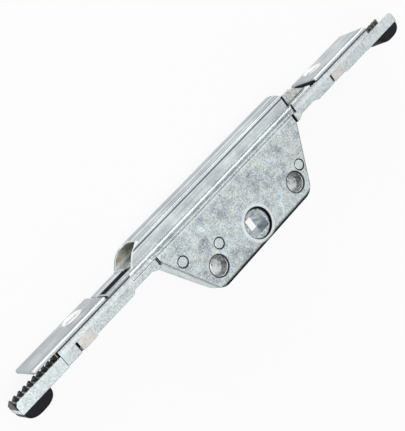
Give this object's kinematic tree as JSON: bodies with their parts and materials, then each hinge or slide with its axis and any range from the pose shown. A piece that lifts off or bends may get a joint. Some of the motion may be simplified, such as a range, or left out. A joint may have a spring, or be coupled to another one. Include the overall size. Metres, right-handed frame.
{
  "type": "espagnolette window gear",
  "caption": "Inline espagnolette window gear: a trapezoid zinc case for a square spindle drives a toothed bar along a channel with faceplate wings and nylon feet.",
  "frame": {"origin": "Spindle axis on the front (handle-side) face of the case, midway between the two handle screws.", "axes": "+X along the bar to the picture's upper right, +Y out of the sash edge through the faceplates, +Z along the spindle towards the handle."},
  "size_m": [0.2016, 0.033, 0.0152],
  "materials": {
    "zinc_case": "cast zinc, passivated, satin and slightly mottled",
    "zinc_plated_sheet": "zinc-plated sheet, pale passivate, burnished edges",
    "plated_steel": "zinc-plated steel, satin",
    "oiled_steel": "rolled steel, dark with oil, bright on the crests of the teeth",
    "yellow_passivate": "zinc plate with a pale yellow passivate",
    "spring_steel": "bright spring steel",
    "black_nylon": "moulded black nylon, satin"
  },
  "bodies": {
    "housing": {"case_front": "zinc_case", "case_back": "zinc_case", "case_rivets": "plated_steel", "left_arm": "zinc_case", "right_arm": "zinc_case", "base_strip": "zinc_plated_sheet", "slide_cover": "zinc_plated_sheet", "fixing_post_left": "plated_steel", "fixing_post_right": "plated_steel", "faceplate_left": "zinc_plated_sheet", "faceplate_right": "zinc_plated_sheet", "plate_pegs": "plated_steel", "end_guide_left": "zinc_case", "end_guide_right": "zinc_case", "guide_pins": "plated_steel", "foot_left": "black_nylon", "foot_right": "black_nylon", "stop_key_left": "yellow_passivate", "stop_key_right": "yellow_passivate", "bar_springs": "spring_steel", "slot_plug_left": "black_nylon", "slot_plug_right": "black_nylon"},
    "follower": {"follower": "plated_steel"},
    "drive": {"drive_bar": "oiled_steel", "drive_rack": "plated_steel", "upper_slide": "yellow_passivate", "slide_pins": "plated_steel"}
  },
  "joints": [
    {"name": "follower_turn", "type": "hinge", "parent": "housing", "child": "follower", "pos_m": [0, 0, -0.0048], "axis": [0, 0, 1], "range_deg": [0, 90]},
    {"name": "bar_slide", "type": "slide", "parent": "housing", "child": "drive", "axis": [-1, 0, 0], "range_m": [0, 0.01257]}
  ],
  "couplings": [
    {"joint": "follower_turn", "follows": "bar_slide", "rad_per_m": 125}
  ]
}
